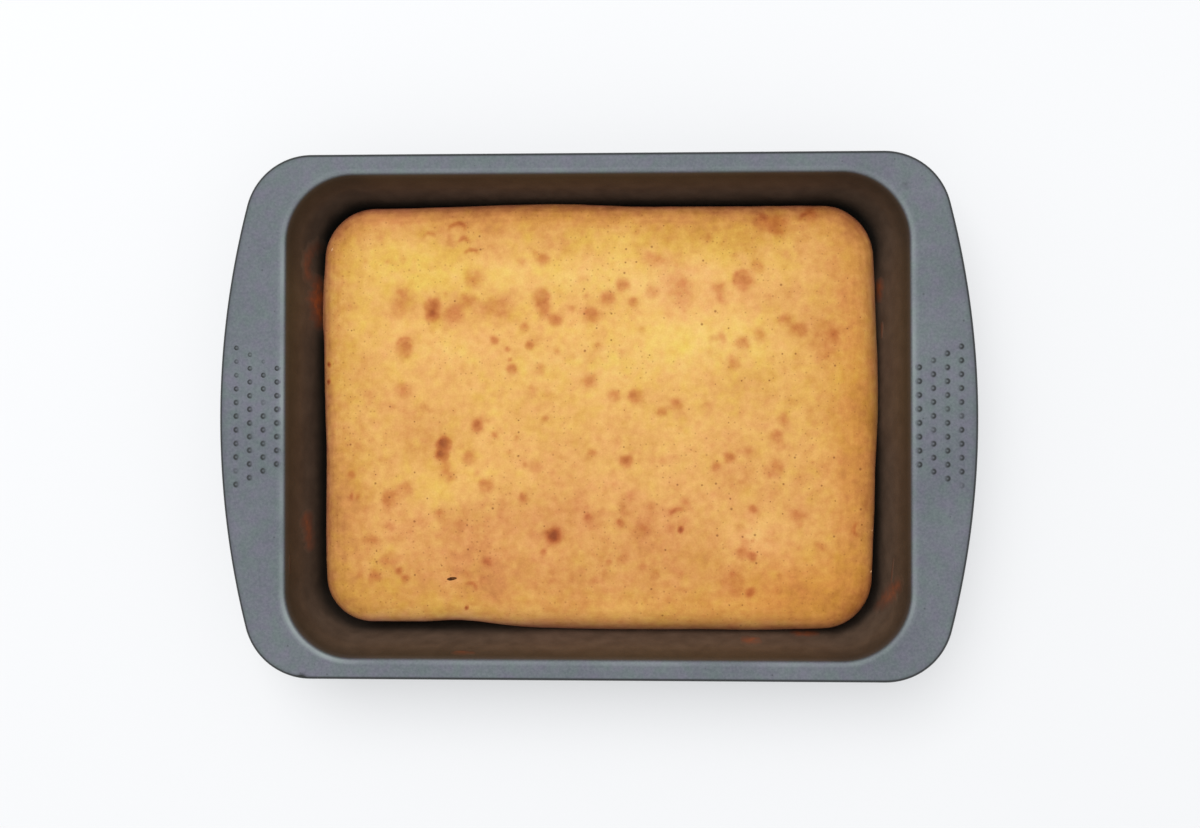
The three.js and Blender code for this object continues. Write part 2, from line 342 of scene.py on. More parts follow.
lip_start = BEND_STEPS + WALL_STEPS
round_the_lip = (np.arange(ring_count) - lip_start) / BEND_STEPS
round_the_hem = (np.arange(ring_count) - ring_count + BEND_STEPS + 2) / BEND_STEPS
hem_darker = np.interp(round_the_hem, *HEM_DARKER)
lip_shade = np.interp(round_the_lip, *LIP_SHADE)
ring_heights = [ring[0, 2] for ring in inside_rings]
foot_shade = np.interp(ring_heights, *FOOT_SHADE)
clean = np.zeros(ring_count)
tin_grease = over_sheet(clean, np.interp(round_the_lip, *GREASE_FADE))
tin_wear_and_sheen = over_sheet(clean, np.interp(round_the_lip, *LIP_WEAR_AND_SHEEN))
tin_dirt_and_shade = over_sheet(hem_darker, hem_darker + lip_shade)
tin_dirt_and_shade += tin_grease * np.interp(tin_points[:, 1], *BACK_SHADE)
stuck = stuck_along(tin_points).sum(axis=0)
tin_dirt_and_shade += over_sheet(clean, foot_shade) * (1 - stuck)
tin_dirt_and_shade += swells(tin_points, RIM_MARKS)
in_corner = np.prod(np.clip((abs(tin_points[:, :2]) - CORNER_FROM) / CORNER_FADE, 0, 1), axis=1)
at_ends = (tin_points[:, 0] < -END_FROM, tin_points[:, 0] > END_FROM)
wear_and_sheen_here = np.select(at_ends, (WEAR_AND_SHEEN_LEFT, WEAR_AND_SHEEN_RIGHT), WEAR_AND_SHEEN_SIDES)
wear_and_sheen_corners = np.where(tin_points[:, 1] < 0, WEAR_AND_SHEEN_FRONT_CORNERS, WEAR_AND_SHEEN_BACK_CORNERS)
tin_wear_and_sheen *= wear_and_sheen_here + (wear_and_sheen_corners - wear_and_sheen_here) * in_corner
print("marks on the rim:", len(RIM_MARKS), "and stuck stretches:", len(STUCK_STRETCHES))

# %% [markdown]
# Each handle has four staggered columns of little dots, pressed up from below for a better grip. A dot
# could be a stretched ball, but a pressed dot has a soft foot that runs out into the sheet. So one bell
# curve is turned round, and copies of it join the sheet, some of them pressed less sharply. A dark ring of
# grime and painted shade lies round each dot, with more painted shade on the side away from the cake, and
# the side towards it carries a painted highlight.

# %% Grip dots
GRIP_PITCH, GRIP_COLUMNS, GRIP_INNER_COLUMN, GRIP_INNER_DOTS = 6.8, 4, 158.5, 8
DOT_HEIGHT, DOT_HALF_WIDTH, DOT_STEEPNESS = 0.6, 0.88, 4.5
DOT_RADII = np.array((0.15, 0.35, 0.55, 0.75, 0.95, 1.15, 1.35, 1.6, 1.9))
DOT_SIDES, DOT_SINK = 20, 0.03
# A dark ring of grime and painted shade round each dot.
DOT_DIRT_AND_SHADE = np.interp(DOT_RADII, (0.2, 0.6, 1.0, 1.35, 1.7), (0.4, 0.9, 1, 0.9, 0))
# More painted shade on the side away from the cake.
DIRT_AND_SHADE_AT_MIDDLE, SHADE_OUTWARD = 0.9, 0.45
# A painted highlight on each dot's side towards the cake.
DOT_HIGHLIGHT, DOT_HIGHLIGHT_INWARD, DOT_HIGHLIGHT_SPREAD = 0.4, 0.45, 0.2
DOT_SEED, SHARPNESSES, SHARPNESS_ODDS = 11, (1.0, 0.95, 0.7, 0.4), (0.5, 0.3, 0.12, 0.08)


def circle(sides):
    """The points of a circle of radius 1."""
    turn = np.linspace(0, 4 * QUARTER, sides, endpoint=False)
    return np.column_stack((np.cos(turn), np.sin(turn)))


def join(parts):
    """One mesh from several, each given as points and faces."""
    points, faces, start = [], [], 0
    for part_points, part_faces in parts:
        points.append(part_points)
        faces += [[start + corner for corner in face] for face in part_faces]
        start += len(part_points)
    return np.concatenate(points), faces


def set_value(piece, name, values):
    """Stores one number per point on a mesh, for its material to read."""
    attribute = piece.data.attributes.new(name, "FLOAT", "POINT")
    attribute.data.foreach_set("value", np.asarray(values, np.float32))


bell = DOT_HEIGHT / (1 + (DOT_RADII / DOT_HALF_WIDTH) ** DOT_STEEPNESS) - DOT_SINK
from_outside = zip(DOT_RADII[::-1], bell[::-1])
dot_points, dot_faces = skin([at_height(circle(DOT_SIDES) * size, rise) for size, rise in from_outside])
parts, dirt_and_shade_so_far, wear_and_sheen_so_far = [(tin_points, tin_faces)], [tin_dirt_and_shade], [tin_wear_and_sheen]
chance = np.random.default_rng(DOT_SEED)
for side in (-1, 1):
    outward, along = side * dot_points[:, 0] / DOT_HALF_WIDTH, dot_points[:, 1] / DOT_HALF_WIDTH
    shaded_side = np.clip(DIRT_AND_SHADE_AT_MIDDLE + SHADE_OUTWARD * outward, 0, 1)
    dot_dirt_and_shade = np.repeat(DOT_DIRT_AND_SHADE[::-1], DOT_SIDES) * shaded_side
    dot_highlight = DOT_HIGHLIGHT * np.exp(-((outward + DOT_HIGHLIGHT_INWARD) ** 2 + along ** 2) / DOT_HIGHLIGHT_SPREAD)
    for column in range(GRIP_COLUMNS):
        x = side * (GRIP_INNER_COLUMN + column * GRIP_PITCH)
        dots = GRIP_INNER_DOTS + column
        for row in range(dots):
            y = (row - (dots - 1) / 2) * GRIP_PITCH
            sharpness = chance.choice(SHARPNESSES, p=SHARPNESS_ODDS) if column else 1
            parts.append((dot_points * (1, 1, sharpness) + (x, y, RIM_HEIGHT), dot_faces[1:]))
            dirt_and_shade_so_far.append(dot_dirt_and_shade * sharpness)
            wear_and_sheen_so_far.append(dot_highlight * sharpness)
tin_points, tin_faces = join(parts)

tin = add_piece("baking_tin", tin_points, tin_faces)
set_value(tin, "grease", np.append(tin_grease, np.zeros(len(tin_points) - len(tin_grease))))
set_value(tin, "wear_and_sheen", np.concatenate(wear_and_sheen_so_far))
set_value(tin, "dirt_and_shade", np.concatenate(dirt_and_shade_so_far))
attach(tin, "root")
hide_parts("tin")
print(len(parts) - 1, "dots,", len(tin.data.polygons), "faces in the tin")

# %% [markdown]
# Three effects turn up on more than one surface. Each is a node group with its own inputs, built once, so
# that a material only says how large and how strong it wants the effect. The first is uneven patches,
# which cloud the coating and mottle the crust: smooth noise, with its contrast raised about the middle.

# %% Shared effect: uneven patches
MIDDLE = 0.5


def math_node(tree, operation, first, second, clamp=False):
    """A sum, a product or the like of two numbers or sockets."""
    node = put(tree, "Math", {0: first, 1: second}, operation=operation, use_clamp=clamp)
    return node.outputs[0]


def new_group(name, numbers, output="Mask", kind="NodeSocketFloat"):
    """A node group with the given number inputs and one output."""
    group = bpy.data.node_groups.new(name, "ShaderNodeTree")
    for label, value in numbers.items():
        socket = group.interface.new_socket(label, in_out="INPUT", socket_type="NodeSocketFloat")
        socket.default_value = value
    group.interface.new_socket(output, in_out="OUTPUT", socket_type=kind)
    return group, group.nodes.new("NodeGroupInput").outputs, group.nodes.new("NodeGroupOutput").inputs


patches, given, result = new_group("patches", {"Scale": 100.0, "Detail": 2.0, "Contrast": 1.0})
place = put(patches, "TexCoord").outputs["Object"]
field = {"Vector": place, "Scale": given["Scale"], "Detail": given["Detail"]}
uneven = put(patches, "TexNoise", field).outputs["Fac"]
centred = math_node(patches, "SUBTRACT", uneven, MIDDLE)
stretched = math_node(patches, "MULTIPLY", centred, given["Contrast"])
patches.links.new(math_node(patches, "ADD", stretched, MIDDLE, clamp=True), result["Mask"])
print("patches:", len(patches.nodes), "nodes")

# %% [markdown]
# The second effect is small round specks, as dust on the coating and as open pores in the crust. A Voronoi
# texture splits the surface into cells, each with a random colour as its lot: the green part says how large
# the speck is, and the red part whether there is one. Specks crowd in some places, and fade on slopes,
# where a pattern laid on from above would be drawn out.

# %% Shared effect: specks
SPECK_SOFTNESS = 1.5
CROWD_SCALE, CROWD_FROM, CROWD_TO, CROWD_MOST = 0.12, 0.35, 0.65, 2.0

specks, given, result = new_group("specks", {"Scale": 200.0, "Radius": 0.2, "Share": 0.3})
place = put(specks, "TexCoord").outputs["Object"]
field = {"Vector": place, "Scale": given["Scale"]}
cell = put(specks, "TexVoronoi", field, voronoi_dimensions="2D")
lot = put(specks, "SeparateColor", {"Color": cell.outputs["Color"]})
own_radius = math_node(specks, "MULTIPLY", given["Radius"], lot.outputs["Green"])
inside = math_node(specks, "DIVIDE", cell.outputs["Distance"], own_radius)
soft_spot = math_node(specks, "SUBTRACT", SPECK_SOFTNESS, inside, clamp=True)
crowd_scale = math_node(specks, "MULTIPLY", given["Scale"], CROWD_SCALE)
crowd = put(specks, "TexNoise", {"Vector": place, "Scale": crowd_scale, "Detail": 1.0}).outputs["Fac"]
limits = {"Value": crowd, "From Min": CROWD_FROM, "From Max": CROWD_TO, "To Max": CROWD_MOST}
crowded = put(specks, "MapRange", limits).outputs["Result"]
share_here = math_node(specks, "MULTIPLY", given["Share"], crowded)
chosen = math_node(specks, "LESS_THAN", lot.outputs["Red"], share_here)
facing = put(specks, "SeparateXYZ", {"Vector": put(specks, "NewGeometry").outputs["Normal"]})
level = math_node(specks, "MULTIPLY", soft_spot, facing.outputs["Z"], clamp=True)
specks.links.new(math_node(specks, "MULTIPLY", level, chosen), result["Mask"])
print("specks:", len(specks.nodes), "nodes")

# %% [markdown]
# The third effect is the brown grease on the walls. It gets paler lower down, as painted light that lifts
# the shade deep in the gap, and shows again through the thin edges of whatever is baked onto it. Its stains
# are the patches from above: one group may hold another.

# %% Shared effect: grease on the walls, paler low down as painted light
# The lower colour is paler as painted light, against the shade deep in the gap.
GREASE_HIGH, GREASE_LOW_PAINTED_LIGHT = colour(72, 58, 45), colour(98, 79, 65)
GREASE_THIN, GREASE_THICK = (1.35, 1.35, 1.35, 1), (0.68, 0.66, 0.64, 1)
GREASE_HEIGHTS = {"From": 50 * MM, "To": 20 * MM}
STAINS, STAINING = {"Scale": 130.0, "Detail": 5.0, "Contrast": 3.0}, 0.5


def mixed(tree, share, first, second, blend_type="MIX"):
    """A blend of two colours or sockets."""
    inputs = {0: share, 6: first, 7: second}
    return put(tree, "Mix", inputs, data_type="RGBA", blend_type=blend_type).outputs[2]


def effect(tree, group, **numbers):
    """Places a shared effect and returns its mask or colour."""
    return put(tree, "Group", numbers, node_tree=group).outputs[0]


wall_grease_and_painted_light, given, result = new_group("wall_grease_and_painted_light", GREASE_HEIGHTS, "Color", "NodeSocketColor")
place = put(wall_grease_and_painted_light, "SeparateXYZ", {"Vector": put(wall_grease_and_painted_light, "TexCoord").outputs["Object"]})
limits = {"Value": place.outputs["Z"], "From Min": given["From"], "From Max": given["To"]}
lower_down = put(wall_grease_and_painted_light, "MapRange", limits).outputs["Result"]
brown = mixed(wall_grease_and_painted_light, lower_down, GREASE_HIGH, GREASE_LOW_PAINTED_LIGHT)
stained = mixed(wall_grease_and_painted_light, effect(wall_grease_and_painted_light, patches, **STAINS), GREASE_THICK, GREASE_THIN)
wall_grease_and_painted_light.links.new(mixed(wall_grease_and_painted_light, STAINING, brown, stained, "MULTIPLY"), result["Color"])
print("groups:", [group.name for group in bpy.data.node_groups])

# %% [markdown]
# The tin's coating is a satin blue-grey with a faint cloudiness, tints of green and violet, and a very
# fine speckle. Inside, years of hot fat have turned it brown, up to just short of the lip, where a cloth
# can reach. The lip shows wear with a painted highlight, and each dot a painted highlight on its side
# towards the cake. One dark colour darkens the hem and two marks on the rim, lays grime and painted shade
# round the dots, and paints shade below the lip, on the back wall and low in the gap. A few specks of dust
# lie on the rim.

# %% Coating of the tin
GREY_DARK, GREY_LIGHT = colour(76, 81, 86), colour(104, 108, 112)
GREEN_TINT, VIOLET_TINT = (0.93, 1.04, 0.97, 1), (1.06, 0.96, 1.10, 1)
WEAR_AND_SHEEN_GREY, DIRT_AND_SHADE_COLOUR = colour(146, 156, 154), colour(28, 30, 29)
DIRT_AND_SHADE_COVER, DUST_COVER = 0.92, 0.5
COATING_ROUGHNESS = (0.36, 0.5)
PEEL = {"Strength": 0.12, "Distance": 0.2 * MM}


def stored(tree, name):
    """A number that the mesh stores on its points."""
    return put(tree, "Attribute", attribute_name=name).outputs["Fac"]


tree, coating = new_material("coating", tin)
clouds = effect(tree, patches, Scale=22.0, Detail=4.0, Contrast=1.6)
grain = effect(tree, patches, Scale=900.0, Detail=2.0, Contrast=2.4)
tone = put(tree, "Mix", {0: MIDDLE, 2: clouds, 3: grain}).outputs[0]
grey = mixed(tree, tone, GREY_DARK, GREY_LIGHT)
tint = mixed(tree, effect(tree, patches, **STAINS), GREEN_TINT, VIOLET_TINT)
tinted = mixed(tree, 1.0, grey, tint, "MULTIPLY")
# Wear with a painted highlight on the lip, and a painted highlight on the dots.
worn_and_sheened = mixed(tree, math_node(tree, "MULTIPLY", stored(tree, "wear_and_sheen"), clouds), tinted, WEAR_AND_SHEEN_GREY)
greased = mixed(tree, stored(tree, "grease"), worn_and_sheened, effect(tree, wall_grease_and_painted_light))
dust = effect(tree, specks, Scale=150.0, Radius=0.07, Share=0.12)
dusty = math_node(tree, "MULTIPLY", dust, DUST_COVER)
# Grime and painted shade, as stored on the points.
dirt_and_shade_share = math_node(tree, "MULTIPLY", stored(tree, "dirt_and_shade"), DIRT_AND_SHADE_COVER)
dust_dirt_and_shade = math_node(tree, "MAXIMUM", dirt_and_shade_share, dusty)
tree.links.new(mixed(tree, dust_dirt_and_shade, greased, DIRT_AND_SHADE_COLOUR), coating["Base Color"])
tree.links.new(between(tree, tone, *COATING_ROUGHNESS), coating["Roughness"])
peel = put(tree, "Bump", {**PEEL, "Height": grain})
tree.links.new(peel.outputs["Normal"], coating["Normal"])
print("coating:", len(tree.nodes), "nodes")

# %% [markdown]
# A sponge that has shrunk away from its tin is a soft slab: a flat top, a rounded edge, and sides that
# lean in towards the foot. One profile gives all of that, in steps over the flat top, round the edge, down
# the side and under the foot. Each step also knows which way the skin faces there, and how much of a pull
# from the wall reaches it: all of it at the shoulder, and less above and below.

# %% Profile of the cake's edge
CAKE_LENGTH, CAKE_WIDTH, CAKE_CORNER, CAKE_END_BOW = 283.5, 215.5, 25, 4000
CAKE_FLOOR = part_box("cake")[0][2] / MM
SHOULDER_HEIGHT, EDGE_REACH, EDGE_RISE, EDGE_POWER = 26, 14, 9, 2.5
FOOT_INSET, FOOT_ROUND, SIDE_POWER = 8.5, 3.5, 1.38
GRID_STEP, EDGE_STEPS, SIDE_STEPS_DOWN, FOOT_STEPS = 0.95, 24, 10, 4

flat_radius = np.arange(0, CAKE_CORNER - EDGE_REACH, GRID_STEP)
angle = np.linspace(QUARTER, 0, EDGE_STEPS + 1)
edge_inset = EDGE_REACH * (1 - np.cos(angle) ** (2 / EDGE_POWER))
edge_height = SHOULDER_HEIGHT + EDGE_RISE * np.sin(angle) ** (2 / EDGE_POWER)
share = np.linspace(0, 1, SIDE_STEPS_DOWN + 1)[1:]
side_inset = FOOT_INSET * share ** SIDE_POWER
side_height = SHOULDER_HEIGHT + share * (CAKE_FLOOR + FOOT_ROUND - SHOULDER_HEIGHT)
angle = np.linspace(0, QUARTER, FOOT_STEPS + 1)[1:]
foot_inset = FOOT_INSET + FOOT_ROUND * (1 - np.cos(angle))
foot_height = CAKE_FLOOR + FOOT_ROUND * (1 - np.sin(angle))

inset = np.concatenate((edge_inset, side_inset, foot_inset))
profile_radius = np.concatenate((flat_radius, CAKE_CORNER - inset))
flat_height = np.full(len(flat_radius), edge_height[0])
profile_height = np.concatenate((flat_height, edge_height, side_height, foot_height))
run, drop = np.gradient(profile_radius), np.gradient(profile_height)
profile_out, profile_up = -drop / np.hypot(run, drop), run / np.hypot(run, drop)
shoulder_step = len(flat_radius) + EDGE_STEPS
above_shoulder = (profile_height[0] - profile_height) / EDGE_RISE
below_shoulder = (profile_height - CAKE_FLOOR) / (SHOULDER_HEIGHT - CAKE_FLOOR)
profile_hang = np.minimum(above_shoulder, below_shoulder)
print("profile:", len(profile_radius), "steps from the flat top to the foot")

# %% [markdown]
# A subdivided box would crowd its points at the corners. So the cake is a grid, like a cloth laid over it:
# its middle is the top, and its border hangs down the sides. Steps outwards follow the profile, and fan out
# in the four corner squares. Where the crust sticks to the wall, it was held back as the rest shrank, so
# its shoulder hangs lower and farther out.

# %% Cloth over the cake
DOME_RISE = 3.2
SIDE_BOWS = (
    (0, 108, 95, 95, 1.5), (-30, 108, 30, 30, 1.0), (30, 108, 35, 35, -0.9), (40, -108, 110, 110, 1.2),
    (-100, -108, 50, 50, -2.0), (-70, -108, 18, 18, -1.7), (141, 20, 45, 45, 1.4),
    (141, -85, 30, 30, -0.8), (-141, 58, 25, 25, 0.9), (-141, -25, 28, 28, -1.2),
)
TOP_SWELLS = (
    (-55, 57, 75, 8, -1.0), (-15, 37, 80, 13, 0.9), (45, 72, 60, 12, 0.7),
    (120, 44, 14, 20, -0.8), (-80, -16, 11, 11, -0.8), (-66, -38, 22, 14, 0.8),
    (-24, -62, 8, 8, -0.6), (78, -74, 14, 12, -0.7), (84, -52, 16, 10, 0.6),
)


def cloth_lines(core):
    """Place over the core, and steps outwards from it, of each grid line across the cake."""
    middle = np.linspace(-core, core, round(2 * core / GRID_STEP) + 1)
    border = np.arange(1, len(profile_radius))
    place = np.concatenate((np.full(len(border), -core), middle, np.full(len(border), core)))
    steps = np.concatenate((-border[::-1], np.zeros(len(middle), int), border))
    return place, steps


lines_x, steps_x = cloth_lines(CAKE_LENGTH / 2 - CAKE_CORNER)
lines_y, steps_y = cloth_lines(CAKE_WIDTH / 2 - CAKE_CORNER)
core = np.column_stack([grid.ravel() for grid in np.meshgrid(lines_x, lines_y)])
steps = np.column_stack([grid.ravel() for grid in np.meshgrid(steps_x, steps_y)])
step = abs(steps).max(axis=1)
fan = math.pi / 4 * abs(steps).min(axis=1) / np.maximum(step, 1)
mainly_x = abs(steps[:, 0]) >= abs(steps[:, 1])
outwards = np.where(mainly_x, (np.cos(fan), np.sin(fan)), (np.sin(fan), np.cos(fan))).T * np.sign(steps)

radius = profile_radius[step]
plan = core + outwards * radius[:, None]
plan[:, 0] -= plan[:, 0] / CAKE_LENGTH * plan[:, 1] ** 2 / CAKE_END_BOW
push = swells(plan, SIDE_BOWS) * np.minimum(radius / (CAKE_CORNER - EDGE_REACH), 1)
held = stuck_along(plan) * profile_hang[step]
*_, hang_down, hang_out = np.transpose(STUCK_STRETCHES)
push += hang_out @ held
plan += outwards * push[:, None]

from_shoulder = np.where(step < shoulder_step, np.minimum((CAKE_CORNER - radius) / EDGE_REACH, 1), 0)
sides_away = 1 - (2 * plan / (CAKE_LENGTH, CAKE_WIDTH)) ** 2
dome = DOME_RISE * np.prod(np.maximum(sides_away, 0), axis=1) * (step < shoulder_step)
height = profile_height[step] - hang_down @ held + dome + from_shoulder * swells(plan, TOP_SWELLS)
cake_points = np.column_stack((plan, height))
print("cloth of", len(lines_x), "by", len(lines_y), "lines, top at", round(height.max(), 1), "mm")

# %% [markdown]
# Where bubbles rose under the skin in the oven, the crust has small round browned spots that stand up a
# hair's breadth. They are no texture: each has its own place, and a baker could point at it. So the larger
# ones are listed, as place, radius and strength, and a seeded scatter adds faint ones. A spot is a flat
# disc with a darker core a little above its middle. A few burst blisters show only one browned edge, listed
# with the way it faces. Noise bends all outlines. The same spots give colour and relief, so the two agree.

# %% Browned spots
SPOTS = (
    (-84, 57, 4.2, 0.74), (-84, 52, 4.2, 0.66), (-98, 35, 5, 0.55), (-99, 60, 7, 0.26), (-101, 54, 5, 0.2),
    (-73, 52, 6, 0.34), (-67, 59, 4.5, 0.36), (-62, 70, 5, 0.32), (-51, 55, 8, 0.3), (-28, 61, 4.5, 0.5),
    (-28, 56, 4, 0.4), (-28, 80, 3.5, 0.4), (-37, 45, 3, 0.4), (-21, 49, 4, 0.45), (-3, 51, 5, 0.5),
    (-34, 36, 2.5, 0.6), (-52, 39, 2.5, 0.5), (-45, 34, 1.5, 0.5), (-44, 29, 1.2, 0.5), (-43, 24, 3, 0.35),
    (-29, 24, 3.5, 0.3), (-4, 18, 4.5, 0.35), (-99, 13, 4.5, 0.35), (13, 67, 4, 0.55), (6, 60, 4.5, 0.5),
    (19, 58, 3, 0.5), (75, 69, 5.5, 0.52), (62, 65, 4, 0.45), (38, 75, 9, 0.2), (42, 63, 8, 0.26),
    (28, 64, 4, 0.3), (92, 97, 6, 0.5), (84, 99, 5, 0.4), (109, 103, 4.5, 0.4), (82, 76, 4, 0.35),
    (95, 49, 4, 0.35), (102, 44, 4.5, 0.42), (116, 42, 7, 0.2), (117, 31, 5.5, 0.26), (83, 41, 3.5, 0.4),
    (74, 37, 4, 0.5), (63, 40, 3, 0.35), (69, 27, 4, 0.35), (20, 10, 4, 0.6), (9, 11, 4, 0.35),
    (40, 6, 4, 0.45), (33, 2.5, 3, 0.45), (-78, -14, 3.8, 1.1), (-79, -19.5, 3.4, 1.0), (-61, -5, 3.5, 0.7),
    (-52, -9, 2, 0.45), (-65, -21, 4, 0.35), (-77, -26, 4.5, 0.35), (-56, -35, 4, 0.45),
    (-37, -41, 3, 0.45), (-105, -42, 5, 0.4), (-98, -37, 4.5, 0.35), (-126, -30, 2.5, 0.45),
    (-80, -50, 3.5, 0.35), (-107, -74, 4.5, 0.35), (-101, -79, 2.5, 0.55), (-98, -83, 2.5, 0.45),
    (-114, -82, 3.5, 0.4), (-22, -61, 4.5, 0.98), (-27, -69, 2.2, 0.5), (-56, -74, 3, 0.4),
    (-4, -52, 3, 0.4), (-2, -18, 2.5, 0.45), (15, -23, 3.4, 0.65), (67, -21, 3, 0.5), (61, -25, 3.5, 0.35),
    (91, -26, 5, 0.4), (91, -10, 4, 0.35), (79, -47, 2.5, 0.55), (101, -50, 4, 0.35), (12, -54, 2.5, 0.5),
    (25, -57, 3.5, 0.3), (79, -71, 2.5, 0.6), (74, -69, 4, 0.4), (78, -89, 3, 0.45), (69, -82, 7, 0.3),
    (6, -74, 2, 0.4), (30, -80, 2.5, 0.3), (-138, 27, 1.2, 1.0), (-137.6, 18, 1.2, 1.0),
    (42.5, -57.5, 1.5, 1.2), (-66.4, -97.6, 1.2, 1.1),
)
BLISTER_EDGES = (
    (-64, 82, 3.2, 90, 0.6), (-68, 88, 3.2, 95, 0.55), (-71, 94, 4.6, 90, 0.6), (-86, 90, 3.5, 90, 0.35),
    (-65, -88, 3.2, 60, 0.45), (41, -50, 3.2, 100, 0.5), (134, -57, 4.0, 180, 0.45),
    (-124, -41, 1.8, 180, 0.4), (-124, -41, 1.8, 0, 0.4), (-98, 35, 4.6, 90, 0.3), (75, 69, 5.0, 135, 0.3),
    (108, 99, 4.0, 120, 0.4),
)
FAINT_SEED, FAINT_SPOTS, FAINT_SPREAD = 5, 170, (122, 92)
FAINT_RADII, FAINT_STRENGTHS = (1.2, 4.2), (0.08, 0.26)
SPOT_WARPS, SPOT_LAYERS = ((7, 0.8), (2.5, 0.2)), (2.5, 7.5)
SPOT_EDGE, SPOT_DEPTH, EDGE_LINE = 3.8, 1.05, 1.1
CORE_SHARE, CORE_SIZE, CORE_RISE = 0.35, 0.5, 0.2

chance = np.random.default_rng(FAINT_SEED)
faint = np.column_stack((
    chance.uniform(-1, 1, (FAINT_SPOTS, 2)) * FAINT_SPREAD,
    chance.uniform(*FAINT_RADII, FAINT_SPOTS),
    chance.uniform(*FAINT_STRENGTHS, FAINT_SPOTS),
))
warped = plan.copy()
for size, reach in SPOT_WARPS:
    warped += reach * np.column_stack([cloud(cake_points, size, layer) for layer in SPOT_LAYERS])
left_pale = np.ones(len(plan))
for x, y, spot_radius, strength in np.concatenate((SPOTS, faint)):
    offset = (warped - (x, y)) / spot_radius
    away = np.hypot(*offset.T)
    off_core = np.hypot(*(offset - (0, CORE_RISE)).T) / CORE_SIZE
    disc = (1 - CORE_SHARE) * np.exp(-away ** SPOT_EDGE) + CORE_SHARE * np.exp(-off_core ** 2)
    left_pale *= 1 - np.minimum(SPOT_DEPTH * strength * disc, 1)
for x, y, edge_radius, facing, strength in BLISTER_EDGES:
    offset = warped - (x, y)
    turned = np.arctan2(offset[:, 1], offset[:, 0]) - math.radians(facing)
    line = np.exp(-((np.hypot(*offset.T) - edge_radius) / EDGE_LINE) ** 2)
    left_pale *= 1 - strength * line * np.maximum(np.cos(turned), 0)
spotted = (1 - left_pale) * (step < shoulder_step)
print(len(SPOTS), "listed spots,", FAINT_SPOTS, "faint ones and", len(BLISTER_EDGES), "blister edges")

# %% [markdown]
# The skin of a sponge is never smooth: it sank a little unevenly as it cooled. Three sizes of soft noise
# make that, pushed along the slope of the profile, so the sides get it as well as the top. With the
# blisters added, the grid becomes the mesh, and one last point under the cake closes its foot.

# %% Relief of the crust
UNEVENNESS, UNEVEN_LAYER = ((26, 0.30), (11, 0.14), (4.5, 0.05)), 0.5
BLISTER_HEIGHT = 0.25


def clouded(points, listed, layer):
    """The sum of several noises, each listed with its patch size and strength."""
    return sum(strength * cloud(points, size, layer) for size, strength in listed)


relief = clouded(cake_points, UNEVENNESS, UNEVEN_LAYER) + BLISTER_HEIGHT * spotted
cake_points[:, :2] += outwards * (profile_out[step] * relief)[:, None]
cake_points[:, 2] += profile_up[step] * relief * (step < len(profile_radius) - FOOT_STEPS)

columns, rows = len(lines_x), len(lines_y)
number = np.arange(columns * rows).reshape(rows, columns)
squares = (number[:-1, :-1], number[:-1, 1:], number[1:, 1:], number[1:, :-1])
cake_faces = np.stack(squares, axis=-1).reshape(-1, 4).tolist()
border = np.concatenate((number[0, :-1], number[:-1, -1], number[-1, :0:-1], number[:0:-1, 0]))
under = len(cake_points)
cake_points = np.vstack((cake_points, (0, 0, CAKE_FLOOR)))
cake_faces += [[under, after, here] for here, after in zip(border.tolist(), np.roll(border, -1).tolist())]

cake = add_piece("sponge_cake", cake_points, cake_faces)
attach(cake, "root")
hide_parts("cake")
print("cake:", sum(len(face) - 2 for face in cake_faces), "triangles")

# %% [markdown]
# How brown the crust is changes slowly over the top as well: darker towards each side, where the tin was
# hot, and paler where the batter stood higher. The back margin is darker still, as painted shade from the
# back wall. Where the skin was drawn out to the wall, and in two zones along those edges, the crust is
# painted paler, as painted light against the shade of its steeper slope. Near the sides it was stretched
# into fine streaks as it rose. All of it is stored on the mesh as a number per point, because it belongs
# to this cake and not to crust in general.

# %% Browning
BASE_BROWN = 0.305
# Browning at each side; at the back it also paints the shade of the back wall.
MARGINS_BROWN_AND_SHADED = ((1, 0, 0.27, 14), (-1, 0, 0.55, 5), (0, 1, 0.52, 9), (0, -1, 0.20, 4))
CORNER_BROWN, CORNER_REACH = 0.20, 9
# The zones at (136, 33) and (30, -102) pale the crust as painted light where the held edge slopes into
# shade.
BROWN_ZONES = (
    (-45, 72, 60, 10, -0.15), (50, 40, 55, 16, -0.20), (-79, 35, 18, 10, -0.12), (-75, -37, 20, 12, -0.12),
    (80, -62, 14, 10, -0.25), (-66, -82, 26, 18, 0.14), (37, -66, 24, 16, 0.10), (108, 46, 18, 16, 0.18),
    (-70, 54, 36, 6, 0.10), (-5, 56, 36, 7, 0.05), (112, -90, 34, 20, 0.14), (-118, -90, 24, 14, 0.13),
    (20, -90, 110, 42, 0.16), (-130, -40, 11, 45, 0.16), (-132, 80, 8, 25, 0.10), (132, 10, 14, 80, 0.12),
    (48, 93, 26, 9, 0.10), (-45, 95, 26, 8, 0.06), (36, 70, 36, 12, -0.18), (-30, 22, 45, 11, -0.10),
    (-90, -12, 22, 18, 0.10), (-56, -50, 36, 12, 0.09), (70, -24, 24, 14, 0.09), (106, 0, 14, 18, 0.08),
    (-124, -60, 14, 20, 0.07), (-100, 91, 16, 10, -0.10), (13, 92, 14, 8, -0.10), (136, 33, 6, 40, -0.08),
    (30, -102, 80, 7, -0.12),
)
BROWN_CLOUDS, BROWN_LAYER = ((30, 0.06), (12, 0.07), (5, 0.06)), 4.5
STREAK_BROWN, STREAK_REACH, STREAK_LENGTH, STREAK_WIDTH, STREAK_LAYER = 0.12, 16, 14, 1.6, 0.7
# Painted light: the held crust is paler, against the shade of its steeper slope.
HELD_PAINTED_LIGHT = 0.40

